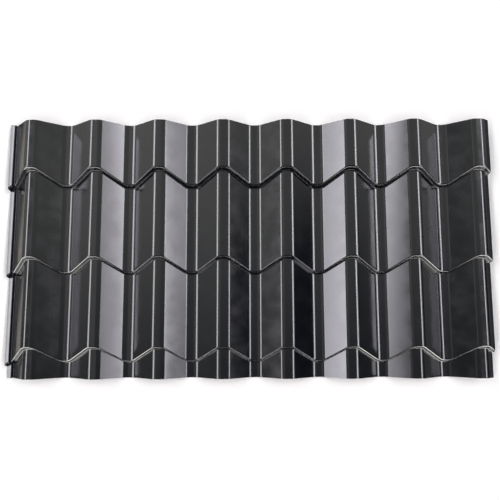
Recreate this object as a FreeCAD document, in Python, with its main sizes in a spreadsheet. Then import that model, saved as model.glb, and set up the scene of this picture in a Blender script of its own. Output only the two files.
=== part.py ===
import FreeCAD, Part
import math
import os
from FreeCAD import Vector

# The sheet lies as on a floor: X across the waves, +Y up the slope to the ridge end, +Z up.
# Its origin is the bottom centre of its bounding box.

# Driving dimensions in millimetres: alias, value, what it is.
DIMENSIONS = [
    ("steel_thickness", 0.6, "coated steel, both coats included"),
    ("crest_count", 8, "waves across the sheet"),
    ("crest_pitch", 143.0, "crest to crest"),
    ("wave_depth", 27.8, "valley to crest"),
    ("crest_width", 20.8, "crest, between its sharp corners"),
    ("valley_width", 18.0, "valley, between its sharp corners"),
    ("crest_radius", 22.4, "bend at each side of a crest, top face"),
    ("valley_radius", 23.7, "bend at each side of a valley, top face"),
    ("step_count", 3, "pressed steps along the sheet"),
    ("step_spacing", 199.6, "step to step"),
    ("step_height", 11.8, "drop of each step"),
    ("riser_run", 3.2, "lean of each step's riser"),
    ("crest_setback", 32.4, "how far a step stands back on a crest"),
    ("ridge_length", 143.4, "ridge end to the first step, in a valley"),
    ("eave_length", 37.5, "last step to the eave end, in a valley"),
    ("lap_flank_run", 37.4, "outer flank of the first crest"),
    ("lip_radius", 1.2, "bend between outer flank and side lap lip"),
    ("lip_rise", 5.5, "height of the lip's raised edge"),
    ("lip_rise_run", 3.6, "slope up to the raised edge"),
    ("rim_radius", 1.0, "bend at the top of that slope"),
    ("rim_width", 9.0, "raised edge, from its bend outwards"),
    ("rim_drop", 0.35, "fall of the raised edge outwards"),
    ("lip_advance", 8.0, "how far a step stands forward at the lip's outer edge"),
    ("edge_run", 17.0, "flank left outside the last crest"),
]

SHEET_LENGTH = (
    "Dimensions.ridge_length + Dimensions.eave_length"
    " + (Dimensions.step_count - 1) * Dimensions.step_spacing"
)


def fill_sheet(document):
    """Put the driving dimensions into the document's spreadsheet."""
    sheet = document.addObject("Spreadsheet::Sheet", "Dimensions")
    for row, (alias, value, meaning) in enumerate(DIMENSIONS, start=1):
        sheet.set(f"A{row}", alias)
        sheet.set(f"B{row}", str(value))
        sheet.set(f"C{row}", meaning)
        sheet.setAlias(f"B{row}", alias)
    document.recompute()
    return sheet


def half_wave_span(dims):
    """From the middle of the waves to the top of the outermost crest."""
    return (dims.crest_count - 1) * dims.crest_pitch / 2


def first_foot(dims):
    """Where the first crest's outer flank meets the side lap lip."""
    return -half_wave_span(dims) - dims.crest_width / 2 - dims.lap_flank_run


def wave_corners(dims):
    """Sharp corners (x, z, bend radius) of the top face's section, from the lip to the cut edge."""
    half_span = half_wave_span(dims)
    half_crest = dims.crest_width / 2
    half_valley = dims.valley_width / 2
    depth = dims.wave_depth

    foot = first_foot(dims)
    rim = foot - dims.lip_rise_run
    corners = [
        (rim - dims.rim_width, dims.lip_rise - dims.rim_drop, 0.0),
        (rim, dims.lip_rise, dims.rim_radius),
        (foot, 0.0, dims.lip_radius),
    ]
    for crest in range(int(dims.crest_count)):
        centre = -half_span + crest * dims.crest_pitch
        corners.append((centre - half_crest, depth, dims.crest_radius))
        corners.append((centre + half_crest, depth, dims.crest_radius))
        if crest < dims.crest_count - 1:
            valley = centre + dims.crest_pitch / 2
            corners.append((valley - half_valley, 0.0, dims.valley_radius))
            corners.append((valley + half_valley, 0.0, dims.valley_radius))

    flank_run = dims.crest_pitch / 2 - half_crest - half_valley
    edge_drop = depth * dims.edge_run / flank_run
    corners.append((half_span + half_crest + dims.edge_run, depth - edge_drop, 0.0))
    return corners


def unit(start, end):
    """Direction from one section corner to the next."""
    length = math.hypot(end[0] - start[0], end[1] - start[1])
    return (end[0] - start[0]) / length, (end[1] - start[1]) / length


def offset_corners(corners, thickness):
    """The same section's bottom face: every straight moved down by the thickness, bends concentric."""
    straights = [unit(start, end) for start, end in zip(corners, corners[1:])]
    before_each = straights[:1] + straights
    after_each = straights + straights[-1:]
    moved = []
    for (x, z, radius), before, after in zip(corners, before_each, after_each):
        miter = thickness / (1 + before[0] * after[0] + before[1] * after[1])
        shift_x = (before[1] + after[1]) * miter
        shift_z = -(before[0] + after[0]) * miter
        turn = before[0] * after[1] - before[1] * after[0]
        if radius:
            radius += math.copysign(thickness, turn)
        moved.append((x + shift_x, z + shift_z, radius))
    return moved


def section_edges(corners, place):
    """Straight and round edges of a section, set into space by place(x, z)."""
    edges = []
    reached = corners[0][:2]
    for index in range(1, len(corners) - 1):
        x, z, radius = corners[index]
        before = unit(corners[index - 1], corners[index])
        after = unit(corners[index], corners[index + 1])
        turn = math.acos(before[0] * after[0] + before[1] * after[1])
        cut = radius * math.tan(turn / 2)
        start = (x - before[0] * cut, z - before[1] * cut)
        end = (x + after[0] * cut, z + after[1] * cut)
        edges.append(Part.LineSegment(place(*reached), place(*start)).toShape())
        bend = Part.BSplineCurve()
        bend.buildFromPolesMultsKnots(
            [place(*start), place(x, z), place(*end)],
            [3, 3], [0.0, 1.0], False, 2, [1.0, math.cos(turn / 2), 1.0])
        edges.append(bend.toShape())
        reached = end
    edges.append(Part.LineSegment(place(*reached), place(*corners[-1][:2])).toShape())
    return edges


def slope_path(dims):
    """Corners of the stepped slope in a valley, from beyond the ridge end to beyond the eave end."""
    rise = dims.step_height / (dims.step_spacing - dims.riser_run)
    overrun = dims.crest_setback + dims.wave_depth
    length = dims.ridge_length + dims.eave_length + (dims.step_count - 1) * dims.step_spacing
    first_step = length / 2 - dims.ridge_length

    ridge_run = dims.ridge_length + overrun
    path = [Vector(0, first_step + ridge_run, dims.step_height - rise * ridge_run)]
    for step in range(int(dims.step_count)):
        edge = first_step - step * dims.step_spacing
        path.append(Vector(0, edge, dims.step_height))
        path.append(Vector(0, edge - dims.riser_run, 0))
    eave_run = dims.eave_length - dims.riser_run + overrun
    path.append(path[-1] + Vector(0, -eave_run, rise * eave_run))
    return path


def bottom_shift(dims):
    """Where the bottom face lies from the top one: square to tiles and risers alike."""
    tile = Vector(0, -(dims.step_spacing - dims.riser_run), dims.step_height)
    riser = Vector(0, -dims.riser_run, -dims.step_height)
    tile_up = Vector(0, tile.z, -tile.y).normalize()
    riser_up = Vector(0, riser.z, -riser.y).normalize()
    return (tile_up + riser_up) * (-dims.steel_thickness / (1 + tile_up.dot(riser_up)))


def formed_band(dims):
    """The formed steel, longer than the sheet at both ends, as one solid."""
    lean = dims.crest_setback / dims.wave_depth
    advance = dims.lip_advance / (dims.lip_rise_run + dims.rim_width)
    shift = bottom_shift(dims)
    thickness = dims.steel_thickness
    top_corners = wave_corners(dims)
    bottom_corners = offset_corners(top_corners, thickness)
    foot = [x for x, z, radius in top_corners].index(first_foot(dims))
    top_foot = top_corners[foot]
    bottom_foot = bottom_corners[foot]

    def setback(x, height, foot_x, foot_height):
        """How far back a step stands: with the waves' height, and forward again out on the lip."""
        if x > foot_x:
            return lean * height
        return lean * foot_height + advance * (x - foot_x)

    def place_top(x, z):
        return Vector(x, setback(x, z, top_foot[0], top_foot[1]), z)

    def place_bottom(x, z):
        height = z + thickness
        back = setback(x, height, bottom_foot[0], bottom_foot[1] + thickness)
        return Vector(x, back, height) + shift

    top = section_edges(top_corners, place_top)
    bottom = section_edges(bottom_corners, place_bottom)
    sides = [
        Part.LineSegment(place_top(*upper[:2]), place_bottom(*lower[:2])).toShape()
        for upper, lower in ((top_corners[0], bottom_corners[0]), (top_corners[-1], bottom_corners[-1]))
    ]

    path = slope_path(dims)
    faces = []
    for start, end in zip(path, path[1:]):
        for edge in top + bottom + sides:
            moved = edge.copy()
            moved.translate(start)
            faces.append(moved.extrude(end - start))
    for corner in (path[0], path[-1]):
        for upper, lower in zip(top, bottom):
            cap = Part.makeRuledSurface(upper, lower)
            cap.translate(corner)
            faces.append(cap)

    shell = Part.makeShell(faces)
    shell.sewShape()
    return Part.makeSolid(shell)


def check(document, sub_part):
    """Stop on any failed object or bad shape."""
    failed = [item.Label for item in document.Objects if {"Invalid", "Error"} & set(item.State)]
    if failed:
        raise RuntimeError("failed: " + ", ".join(failed))
    if sub_part.Shape.isNull() or not sub_part.Shape.isValid() or len(sub_part.Shape.Solids) != 1:
        raise RuntimeError("bad shape: " + sub_part.Label)


doc = FreeCAD.newDocument("TileSheet")
dims = fill_sheet(doc)

# Formed stock, longer than the sheet
stock = doc.addObject("Part::Feature", "FormedStock")
stock.Label = "formed stock"
stock.Shape = formed_band(dims)

# Square cuts at the ridge end and the eave end
cut = doc.addObject("Part::Box", "CutToLength")
cut.setExpression("Length", "(Dimensions.crest_count + 1) * Dimensions.crest_pitch")
cut.setExpression("Width", SHEET_LENGTH)
cut.setExpression("Height", "2 * (Dimensions.wave_depth + Dimensions.step_height)")
cut.setExpression("Placement.Base.x", "-Length / 2")
cut.setExpression("Placement.Base.y", "-Width / 2")
cut.setExpression("Placement.Base.z", "-Height / 4")

sheet = doc.addObject("Part::Common", "RoofingSheet")
sheet.Label = "roofing_sheet"
sheet.Base = stock
sheet.Tool = cut
doc.recompute()

# Origin at the bottom centre
box = sheet.Shape.BoundBox
sheet.Placement = FreeCAD.Placement(Vector(-box.Center.x, -box.Center.y, -box.ZMin), FreeCAD.Rotation())
doc.recompute()
check(doc, sheet)

box = sheet.Shape.optimalBoundingBox(False, False)
print("size", round(box.XLength, 2), round(box.YLength, 2), round(box.ZLength, 2))
print("bottom", round(box.ZMin, 4), "centre", round(box.Center.x, 4), round(box.Center.y, 4))
print("volume", round(sheet.Shape.Volume), "faces", len(sheet.Shape.Faces))

os.makedirs("parts", exist_ok=True)
sheet.Shape.exportStep(f"parts/{sheet.Label}.step")
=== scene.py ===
import math

import bmesh
import bpy
from mathutils import Matrix, Vector

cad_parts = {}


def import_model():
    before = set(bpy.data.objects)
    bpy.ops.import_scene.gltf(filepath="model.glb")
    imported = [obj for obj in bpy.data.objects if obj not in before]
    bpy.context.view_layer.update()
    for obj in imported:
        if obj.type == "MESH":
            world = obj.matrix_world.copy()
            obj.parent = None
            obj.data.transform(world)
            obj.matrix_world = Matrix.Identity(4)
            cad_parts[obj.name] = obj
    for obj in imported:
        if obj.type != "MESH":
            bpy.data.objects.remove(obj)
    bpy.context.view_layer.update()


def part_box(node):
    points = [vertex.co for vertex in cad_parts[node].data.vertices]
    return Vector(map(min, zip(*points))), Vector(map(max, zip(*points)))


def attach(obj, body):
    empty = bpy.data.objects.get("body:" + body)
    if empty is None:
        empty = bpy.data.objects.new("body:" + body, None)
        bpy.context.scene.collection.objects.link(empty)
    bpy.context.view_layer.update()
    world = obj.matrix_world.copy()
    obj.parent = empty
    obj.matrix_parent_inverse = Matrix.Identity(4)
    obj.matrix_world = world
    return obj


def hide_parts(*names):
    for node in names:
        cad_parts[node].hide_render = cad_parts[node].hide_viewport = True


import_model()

# Sizes of the sheet, in metres
STEEL = 0.0006
CRESTS = 8
PITCH = 0.143
WAVE_DEPTH = 0.0278
CREST_WIDTH = 0.0208
VALLEY_WIDTH = 0.018
CREST_BEND = 0.0224
VALLEY_BEND = 0.0237
STEPS = 3
STEP_SPACING = 0.1996
STEP_HEIGHT = 0.0118
RISER_RUN = 0.0032
CREST_SETBACK = 0.0324
RIDGE_LENGTH = 0.1434
LAP_FLANK_RUN = 0.0374
LIP_BEND = 0.0012
LIP_RISE = 0.0055
LIP_RISE_RUN = 0.0036
RIM_BEND = 0.001
RIM_WIDTH = 0.009
RIM_DROP = 0.00035
LIP_ADVANCE = 0.008
EDGE_RUN = 0.017
STEP_EDGE_BEND = 0.0042
STEP_FOOT_BEND = 0.0014

# Formed beyond the cut edges, and trimmed back so that the sheet stays inside its solid's box
SPARE = 0.06
EDGE_TRIM = 0.00032
CUT_TOLERANCE = 1e-7

BEND_SEGMENTS = 10
STEP_BEND_SEGMENTS = 6
TILE_RUN = STEP_SPACING - RISER_RUN
TILE_RISE = STEP_HEIGHT / TILE_RUN

# The photograph's camera, from the fit of the sheet's bend lines to the picture
FOCAL_PIXELS = 400
PICTURE_PIXELS = 500
SENSOR = 36
NADIR_DROP_PIXELS = 54.3
CAMERA_PLACE = (0.0045, -0.1575, 0.9144)
CAMERA_TILT = 0.036
CAMERA_ROLL = 0.003

# Anthracite paint
PAINT_DARK = (0.0035, 0.0045, 0.0064, 1.0)
PAINT_LIGHT = (0.0043, 0.0056, 0.0077, 1.0)
PAINT_IOR = 1.62
PAINT_SMOOTH = 0.10
PAINT_ROUGH = 0.16
CLOUD_RANGE = (0.3, 0.7)
PEEL_HEIGHT = 0.00002
WAVINESS_HEIGHT = 0.00025

# Light, and the colours of what the gloss shows
WORLD_LIGHT = 0.07
LAMP_LIGHT = 0.72
WHITE = (1.0, 1.0, 1.0, 1.0)
WALL_TINT = (1.0, 1.0, 0.94, 1.0)
LAMP_TINT = (1.0, 0.975, 1.06, 1.0)
FLOOR_HALF_WIDTH = 12.0
FLOOR_WHITE = (0.98, 0.98, 0.92, 1.0)
FLOOR_GLOW = 0.07
FLOOR_REFLECTED = (0.95, 0.91, 0.78, 1.0)
# Painted shade: the floor seen in the gloss is dark from just outside the sheet's left edge rightwards,
# in place of the sheet's shadow
FLOOR_PAINTED_SHADE = (0.15, 0.15, 0.15, 1.0)
FLOOR_PAINTED_SHADE_EDGE = -0.595
FLOOR_PAINTED_SHADE_FULL = -0.572


class Value:
    """A shader socket that takes part in Python arithmetic by adding Math nodes."""

    def __init__(self, tree, socket):
        self.tree = tree
        self.socket = socket

    def math(self, operation, *others):
        return self.tree.node("ShaderNodeMath", {"operation": operation}, (self, *others)).out(0)

    def __add__(self, other):
        return self.math("ADD", other)

    def __radd__(self, other):
        return self.math("ADD", other)

    def __sub__(self, other):
        return self.math("SUBTRACT", other)

    def __rsub__(self, other):
        return self.tree.node("ShaderNodeMath", {"operation": "SUBTRACT"}, (other, self)).out(0)

    def __mul__(self, other):
        return self.math("MULTIPLY", other)

    def __rmul__(self, other):
        return self.math("MULTIPLY", other)

    def between(self, low, high, start=0.0, end=1.0):
        """Smooth change from start to end as the value goes from low to high."""
        settings = {"interpolation_type": "SMOOTHSTEP"}
        return self.tree.node("ShaderNodeMapRange", settings, (self, low, high, start, end)).out(0)

    def hill(self, start, full, falling, end):
        """Smooth rise from start to full, and fall again from falling to end."""
        return self.between(start, full) * self.between(falling, end, 1.0, 0.0)


class Node:
    """A shader node whose outputs are picked by name or number."""

    def __init__(self, tree, node):
        self.tree = tree
        self.node = node

    def out(self, key):
        return Value(self.tree, self.node.outputs[key])


class Tree:
    """Nodes of one material, lamp or world."""

    def __init__(self, owner):
        owner.use_nodes = True
        self.nodes = owner.node_tree.nodes
        self.links = owner.node_tree.links
        self.nodes.clear()

    def node(self, kind, settings=None, inputs=()):
        """Add a node, set its settings, then fill its sockets with values or links."""
        node = self.nodes.new(kind)
        for name, value in (settings or {}).items():
            setattr(node, name, value)
        pairs = inputs.items() if isinstance(inputs, dict) else enumerate(inputs)
        for key, value in pairs:
            if isinstance(value, Value):
                self.links.new(value.socket, node.inputs[key])
            else:
                node.inputs[key].default_value = value
        return Node(self, node)

    def mix(self, factor, first, second):
        """Blend of two colours."""
        settings = {"data_type": "RGBA"}
        return self.node("ShaderNodeMix", settings, {0: factor, 6: first, 7: second}).out(2)


# Shape of the sheet

def chain(points):
    """A line of joined vertices in a new bmesh."""
    line = bmesh.new()
    vertices = [line.verts.new(point) for point in points]
    for first, second in zip(vertices, vertices[1:]):
        line.edges.new((first, second))
    line.verts.ensure_lookup_table()
    return line, vertices


def round_corner(line, vertex, radius, segments):
    """Turn one corner of a line into an arc of the given radius."""
    first, second = (edge.other_vert(vertex).co - vertex.co for edge in vertex.link_edges)
    cut = radius * math.tan((math.pi - first.angle(second)) / 2)
    bmesh.ops.bevel(
        line, geom=[vertex], offset=cut, offset_type="OFFSET", segments=segments,
        profile=0.5, affect="VERTICES", material=-1)


def wave_line():
    """Section of the sheet's top face, from the lip to the cut edge."""
    half_span = (CRESTS - 1) * PITCH / 2
    half_crest = CREST_WIDTH / 2
    half_valley = VALLEY_WIDTH / 2
    flank_run = PITCH / 2 - half_crest - half_valley
    foot = -half_span - half_crest - LAP_FLANK_RUN
    rim = foot - LIP_RISE_RUN
    corners = [
        (rim - RIM_WIDTH, LIP_RISE - RIM_DROP, 0),
        (rim, LIP_RISE, RIM_BEND),
        (foot, 0, LIP_BEND),
    ]
    for crest in range(CRESTS):
        centre = -half_span + crest * PITCH
        corners += [(centre + side * half_crest, WAVE_DEPTH, CREST_BEND) for side in (-1, 1)]
        if crest < CRESTS - 1:
            valley = centre + PITCH / 2
            corners += [(valley + side * half_valley, 0, VALLEY_BEND) for side in (-1, 1)]
    edge_drop = WAVE_DEPTH * EDGE_RUN / flank_run
    corners.append((half_span + half_crest + EDGE_RUN, WAVE_DEPTH - edge_drop, 0))

    line, vertices = chain([(x, 0, z) for x, z, bend in corners])
    for vertex, (x, z, bend) in zip(vertices, corners):
        if bend:
            round_corner(line, vertex, bend, BEND_SEGMENTS)
    set_back(line, foot)
    return line


def set_back(line, foot):
    """Lean the section as the steps run: back with the waves' height, and forward out on the lip."""
    lean = CREST_SETBACK / WAVE_DEPTH
    advance = LIP_ADVANCE / (LIP_RISE_RUN + RIM_WIDTH)
    flank_slope = WAVE_DEPTH / LAP_FLANK_RUN
    lip_slope = LIP_RISE / LIP_RISE_RUN
    bend_lean = (lean * flank_slope - advance) / (flank_slope + lip_slope)
    bend_advance = advance + bend_lean * lip_slope
    reach = LIP_BEND * math.tan((math.atan(flank_slope) + math.atan(lip_slope)) / 2)
    bend_start = foot - reach * math.cos(math.atan(lip_slope))
    bend_end = foot + reach * math.cos(math.atan(flank_slope))
    for vertex in line.verts:
        x, y, z = vertex.co
        if x > bend_end:
            vertex.co.y = lean * z
        elif x < bend_start:
            vertex.co.y = advance * (x - foot)
        else:
            vertex.co.y = bend_advance * (x - foot) + bend_lean * z


def slope_points(length):
    """Points down the stepped slope in a valley, each step with rounded edge and foot."""
    first_step = length / 2 - RIDGE_LENGTH
    start = RIDGE_LENGTH + SPARE
    points = [(0, first_step + start, STEP_HEIGHT - TILE_RISE * start)]
    for step in range(STEPS):
        edge = first_step - step * STEP_SPACING
        points += [(0, edge, STEP_HEIGHT), (0, edge - RISER_RUN, 0)]
    points.append((0, points[-1][1] - TILE_RUN, TILE_RISE * TILE_RUN))
    line, vertices = chain(points)
    for edge, foot in zip(vertices[1:-1:2], vertices[2:-1:2]):
        round_corner(line, edge, STEP_EDGE_BEND, STEP_BEND_SEGMENTS)
        round_corner(line, foot, STEP_FOOT_BEND, STEP_BEND_SEGMENTS)
    path = [vertex.co.copy() for vertex in line.verts]
    line.free()
    return sorted(path, key=lambda point: -point.y)


def sheet_mesh():
    """The formed sheet's top face, cut to length and set on its solid's box."""
    low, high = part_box("roofing_sheet")
    steel = wave_line()
    path = slope_points(high.y - low.y)
    bmesh.ops.translate(steel, vec=path[0], verts=steel.verts)
    front = list(steel.edges)
    for start, end in zip(path, path[1:]):
        grown = bmesh.ops.extrude_edge_only(steel, edges=front)["geom"]
        front = [item for item in grown if isinstance(item, bmesh.types.BMEdge)]
        moved = [item for item in grown if isinstance(item, bmesh.types.BMVert)]
        bmesh.ops.translate(steel, vec=end - start, verts=moved)
    across = [vertex.co.x for vertex in steel.verts]
    middle = (min(across) + max(across)) / 2
    bmesh.ops.translate(steel, vec=Vector(((low.x + high.x) / 2 - middle, 0, 0)), verts=steel.verts)
    trim = Vector((EDGE_TRIM, EDGE_TRIM, 0))
    for corner, side in ((low + trim, -1), (high - trim, 1)):
        for normal in ((side, 0, 0), (0, side, 0)):
            bmesh.ops.bisect_plane(
                steel, geom=[*steel.verts, *steel.edges, *steel.faces], dist=CUT_TOLERANCE,
                plane_co=corner, plane_no=normal, clear_outer=True)
    bmesh.ops.recalc_face_normals(steel, faces=steel.faces)
    if sum(face.normal.z * face.calc_area() for face in steel.faces) < 0:
        bmesh.ops.reverse_faces(steel, faces=steel.faces)
    bottom = min(vertex.co.z for vertex in steel.verts)
    bmesh.ops.translate(steel, vec=Vector((0, 0, low.z + STEEL - bottom)), verts=steel.verts)
    mesh = bpy.data.meshes.new("formed_sheet")
    steel.to_mesh(mesh)
    steel.free()
    return mesh


def formed_sheet():
    """The painted sheet, with its steel's thickness and smooth bends between flat panels."""
    mesh = sheet_mesh()
    mesh.shade_smooth()
    sheet = bpy.data.objects.new("formed_sheet", mesh)
    bpy.context.scene.collection.objects.link(sheet)
    mesh.materials.append(anthracite_paint())
    thickness = sheet.modifiers.new("steel", "SOLIDIFY")
    thickness.thickness = STEEL
    thickness.offset = -1
    thickness.use_even_offset = True
    thickness.use_quality_normals = True
    normals = sheet.modifiers.new("flat panels", "WEIGHTED_NORMAL")
    normals.mode = "FACE_AREA"
    normals.weight = 100
    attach(sheet, "root")
    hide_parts("roofing_sheet")
    return sheet


# Finishes

def anthracite_paint():
    """Glossy near-black anthracite coating with a faint orange peel and panel waviness."""
    material = bpy.data.materials.new("anthracite_paint")
    tree = Tree(material)
    place = tree.node("ShaderNodeTexCoord").out("Object")
    peel = tree.node("ShaderNodeTexNoise", {}, {"Vector": place, "Scale": 420.0, "Detail": 2.0}).out(0)
    waviness = tree.node("ShaderNodeTexNoise", {}, {"Vector": place, "Scale": 14.0, "Detail": 1.0}).out(0)
    clouds = tree.node("ShaderNodeTexNoise", {}, {"Vector": place, "Scale": 30.0, "Detail": 4.0}).out(0)
    surface = peel * PEEL_HEIGHT + waviness * WAVINESS_HEIGHT
    bump = tree.node("ShaderNodeBump", {}, {"Strength": 0.5, "Distance": 1.0, "Height": surface}).out(0)
    colour = tree.mix(clouds.between(*CLOUD_RANGE), PAINT_DARK, PAINT_LIGHT)
    shader = tree.node("ShaderNodeBsdfPrincipled", {}, {
        "Base Color": colour,
        "Roughness": clouds.between(*CLOUD_RANGE, PAINT_SMOOTH, PAINT_ROUGH),
        "IOR": PAINT_IOR,
        "Normal": bump,
    }).out(0)
    tree.node("ShaderNodeOutputMaterial", {}, {"Surface": shader})
    return material


# Studio

def floor():
    """White floor. The gloss shows it warmer outside the sheet's left edge, and dark with painted shade
    from just outside that edge across the floor under the sheet and to its right.
    """
    plane = bmesh.new()
    bmesh.ops.create_grid(plane, x_segments=1, y_segments=1, size=FLOOR_HALF_WIDTH)
    mesh = bpy.data.meshes.new("floor")
    plane.to_mesh(mesh)
    plane.free()
    ground = bpy.data.objects.new("floor", mesh)
    bpy.context.scene.collection.objects.link(ground)
    material = bpy.data.materials.new("white_floor")
    tree = Tree(material)
    ray = tree.node("ShaderNodeLightPath")
    place = tree.node("ShaderNodeTexCoord").out("Object")
    across = tree.node("ShaderNodeSeparateXYZ", {}, (place,)).out("X")
    # Painted shade, in reflections only: dark from just outside the sheet's left edge rightwards, in
    # place of the sheet's shadow
    shade = across.between(FLOOR_PAINTED_SHADE_EDGE, FLOOR_PAINTED_SHADE_FULL)
    reflected = tree.mix(shade, FLOOR_REFLECTED, FLOOR_PAINTED_SHADE)
    colour = tree.mix(ray.out("Is Glossy Ray"), FLOOR_WHITE, reflected)
    paint = tree.node("ShaderNodeBsdfDiffuse", {}, {"Color": colour}).out(0)
    seen = tree.node("ShaderNodeEmission", {}, {"Strength": ray.out("Is Camera Ray") * FLOOR_GLOW}).out(0)
    shader = tree.node("ShaderNodeAddShader", {}, (paint, seen)).out(0)
    tree.node("ShaderNodeOutputMaterial", {}, {"Surface": shader})
    mesh.materials.append(material)


def world():
    """Studio walls seen in the gloss, by the angle in degrees to the side and the lean along +Y."""
    surroundings = bpy.data.worlds.new("surroundings")
    bpy.context.scene.world = surroundings
    tree = Tree(surroundings)
    ray = tree.node("ShaderNodeLightPath")
    direction = tree.node("ShaderNodeTexCoord").out("Generated")
    parts = tree.node("ShaderNodeSeparateXYZ", {}, (direction,))
    along = parts.out("Y")
    degrees = parts.out("X").math("ARCTAN2", parts.out("Z")) * math.degrees(1)
    ceiling = along.between(-0.15, 0.5, 0.16, 0.62)
    left_wall = degrees.between(-60, -50, 0.38, 0.0)
    left_gap = degrees.hill(-39, -35, -30, -28) * 0.42
    left_glow = degrees.hill(-30, -25, -19, -9) * 0.36
    corner = degrees.hill(50, 60, 69, 82) * along.between(0.2, 0.55, 0.95, 0.0)
    sideways = degrees.math("ABSOLUTE")
    horizon = sideways.between(79, 88)
    front_panels = sideways.hill(50, 58, 84, 90) * along.between(-0.7, -0.5, 14.0, 0.0)
    walls = ceiling * (left_wall + 1) * (1 - corner) * (1 - left_gap) + left_glow
    walls = walls * (1 - horizon) + horizon * along.between(-0.1, 0.55, 0.34, 0.59)
    walls = walls + front_panels
    glossy = ray.out("Is Glossy Ray") + ray.out("Is Transmission Ray")
    strength = glossy * (walls - WORLD_LIGHT) + WORLD_LIGHT
    strength = strength + (1 - strength) * ray.out("Is Camera Ray")
    background = tree.node("ShaderNodeBackground", {}, {
        "Color": tree.mix(ray.out("Is Camera Ray"), WALL_TINT, WHITE),
        "Strength": strength,
    }).out(0)
    tree.node("ShaderNodeOutputWorld", {}, {"Surface": background})


def softbox(name, low, high, glow):
    """Flat lamp facing down between two corners, with its brightness given by glow(x, y)."""
    size = high - low
    data = bpy.data.lights.new(name, "AREA")
    data.shape = "RECTANGLE"
    data.size = size.x
    data.size_y = size.y
    data.energy = LAMP_LIGHT * math.pi * size.x * size.y
    tree = Tree(data)
    corner = tree.node("ShaderNodeNewGeometry").out("Parametric")
    parts = tree.node("ShaderNodeSeparateXYZ", {}, (corner,))
    strength = glow(parts.out("X") * size.x + low.x, parts.out("Y") * size.y + low.y)
    shader = tree.node("ShaderNodeEmission", {}, {"Color": LAMP_TINT, "Strength": strength}).out(0)
    tree.node("ShaderNodeOutputLight", {}, {"Surface": shader})
    lamp = bpy.data.objects.new(name, data)
    lamp.location = (low + high) / 2
    lamp.visible_camera = False
    bpy.context.scene.collection.objects.link(lamp)


def left_lamp_glow(x, y):
    """Left lamp, brighter inside, with a gap in front of the sheet and a dimmer inner edge."""
    soft_sides = x.hill(-10.9, -10.0, -6.45, -5.75)
    brightness = x.between(-9.0, -8.0, 7.8, 12.8)
    front_gap = y.hill(-6.6, -5.4, -3.0, -2.0) * (1 - x.hill(-9.8, -9.2, -7.8, -7.2))
    dim_edge = x.between(-7.4, -6.5) * y.between(-1.0, 7.2, 0.56, 0.14)
    return soft_sides * brightness * (1 - front_gap) * (1 - dim_edge)


def right_lamp_glow(x, y):
    """Right lamp, with a bright strip, a gap in front of the sheet and a dimmer outer front."""
    soft_sides = x.hill(6.45, 6.9, 12.0, 13.2)
    front_gap = y.hill(-7.4, -6.1, -3.4, -2.2) * (1 - x.hill(8.1, 8.8, 10.4, 11.0))
    brightness = x.hill(7.75, 8.2, 9.1, 9.7) * 16 + x.between(8.6, 9.6, 5.4, 4.4)
    dim_front = x.between(8.4, 9.4) * y.between(-0.4, 4.0, 0.42, 0.0)
    return soft_sides * (1 - front_gap) * brightness * (1 - dim_front)


def studio():
    """Long softboxes on both sides, seen as light panels and as a light line in every bend."""
    softbox("left_softbox", Vector((-11.2, -14.0, 8.0)), Vector((-5.7, 9.0, 8.0)), left_lamp_glow)
    softbox("right_softbox", Vector((6.4, -14.0, 9.0)), Vector((13.2, 10.0, 9.0)), right_lamp_glow)


def camera():
    """Camera at the photograph's place."""
    data = bpy.data.cameras.new("camera")
    data.sensor_width = SENSOR
    data.lens = FOCAL_PIXELS / PICTURE_PIXELS * SENSOR
    data.shift_y = NADIR_DROP_PIXELS / PICTURE_PIXELS
    eye = bpy.data.objects.new("camera", data)
    turn = Matrix.Rotation(CAMERA_TILT, 4, "X") @ Matrix.Rotation(-CAMERA_ROLL, 4, "Z")
    eye.matrix_world = Matrix.Translation(CAMERA_PLACE) @ turn
    bpy.context.scene.collection.objects.link(eye)
    bpy.context.scene.camera = eye


formed_sheet()
floor()
world()
studio()
camera()
bpy.context.scene.view_settings.view_transform = "Standard"
